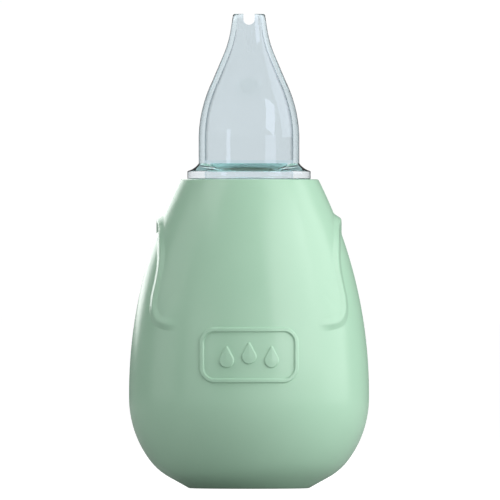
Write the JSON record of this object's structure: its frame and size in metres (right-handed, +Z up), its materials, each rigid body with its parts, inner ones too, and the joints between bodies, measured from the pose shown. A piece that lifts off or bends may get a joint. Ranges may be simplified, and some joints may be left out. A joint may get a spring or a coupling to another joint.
{
  "type": "nasal aspirator",
  "caption": "Baby nasal aspirator: hollow squeeze bulb with sprung finger rests and a clear, flanged nozzle with a notched tip that plugs into its neck.",
  "frame": {"origin": "centre of the bulb's flat base, on the surface that the aspirator stands on", "axes": "+Z up along the bulb's axis to the nozzle's tip; -Y towards the front, where the moulded emblem is; finger rests at -X and +X"},
  "size_m": [0.0582, 0.0586, 0.115],
  "materials": {
    "bulb_rubber": "satin mint green soft PVC or rubber",
    "clear_plastic": "clear, faintly blue, glossy"
  },
  "bodies": {
    "bulb": {"bulb_shell": "bulb_rubber"},
    "left_wall": {"left_finger_rest": "bulb_rubber"},
    "right_wall": {"right_finger_rest": "bulb_rubber"},
    "nozzle": {"nozzle": "clear_plastic"}
  },
  "joints": [
    {"name": "left_squeeze", "type": "slide", "parent": "bulb", "child": "left_wall", "axis": [1, 0, 0], "range_m": [0, 0.008], "stiffness_N_per_m": 600},
    {"name": "right_squeeze", "type": "slide", "parent": "bulb", "child": "right_wall", "axis": [-1, 0, 0], "range_m": [0, 0.008], "stiffness_N_per_m": 600},
    {"name": "nozzle_pull", "type": "slide", "parent": "bulb", "child": "nozzle", "axis": [0, 0, 1], "range_m": [0, 0.016]}
  ],
  "couplings": [
    {"joint": "right_squeeze", "follows": "left_squeeze", "ratio": 1}
  ]
}
